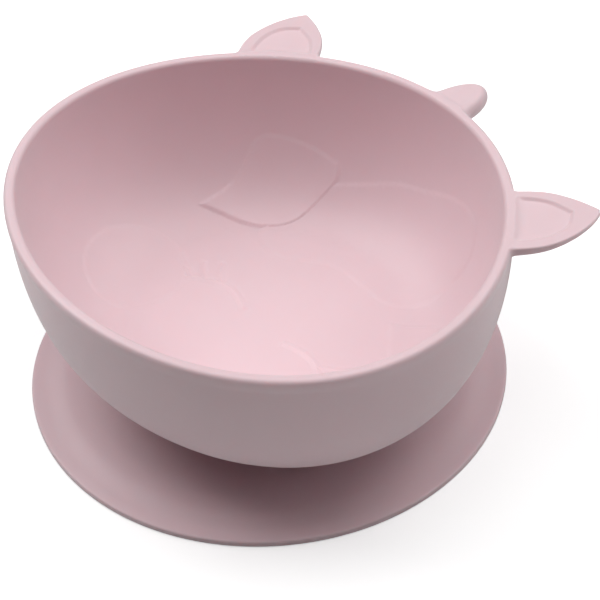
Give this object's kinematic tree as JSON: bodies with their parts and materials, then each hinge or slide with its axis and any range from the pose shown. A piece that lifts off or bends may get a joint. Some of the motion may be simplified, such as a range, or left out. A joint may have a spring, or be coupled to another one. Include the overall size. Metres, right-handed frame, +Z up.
{
  "type": "suction bowl",
  "caption": "Deep soft bowl for small children in the outline of an animal head with ears and a blunt horn, on a wide domed suction foot that seals when the bowl is pressed down.",
  "frame": {"origin": "middle of the bounding box in plan, on the surface that the foot stands on; the axis of the bowl and the foot is at y = -5.5 mm", "axes": "+Z up out of the bowl, +Y towards the horn at the top of the head, +X towards the right ear as seen from above with the horn up"},
  "size_m": [0.1346, 0.135, 0.0567],
  "materials": {
    "silicone": "matt pastel pink moulded silicone"
  },
  "bodies": {
    "foot": {"sealing_rim": "silicone", "suction_dome": "silicone"},
    "bowl": {"bowl_shell": "silicone", "ear_left": "silicone", "ear_right": "silicone", "horn": "silicone", "neck": "silicone"}
  },
  "joints": [
    {"name": "press_down", "type": "slide", "parent": "foot", "child": "bowl", "axis": [0, 0, -1], "range_m": [0, 0.004], "stiffness_N_per_m": 6000, "springref_m": -0.0003, "deforming": ["suction_dome"]}
  ]
}
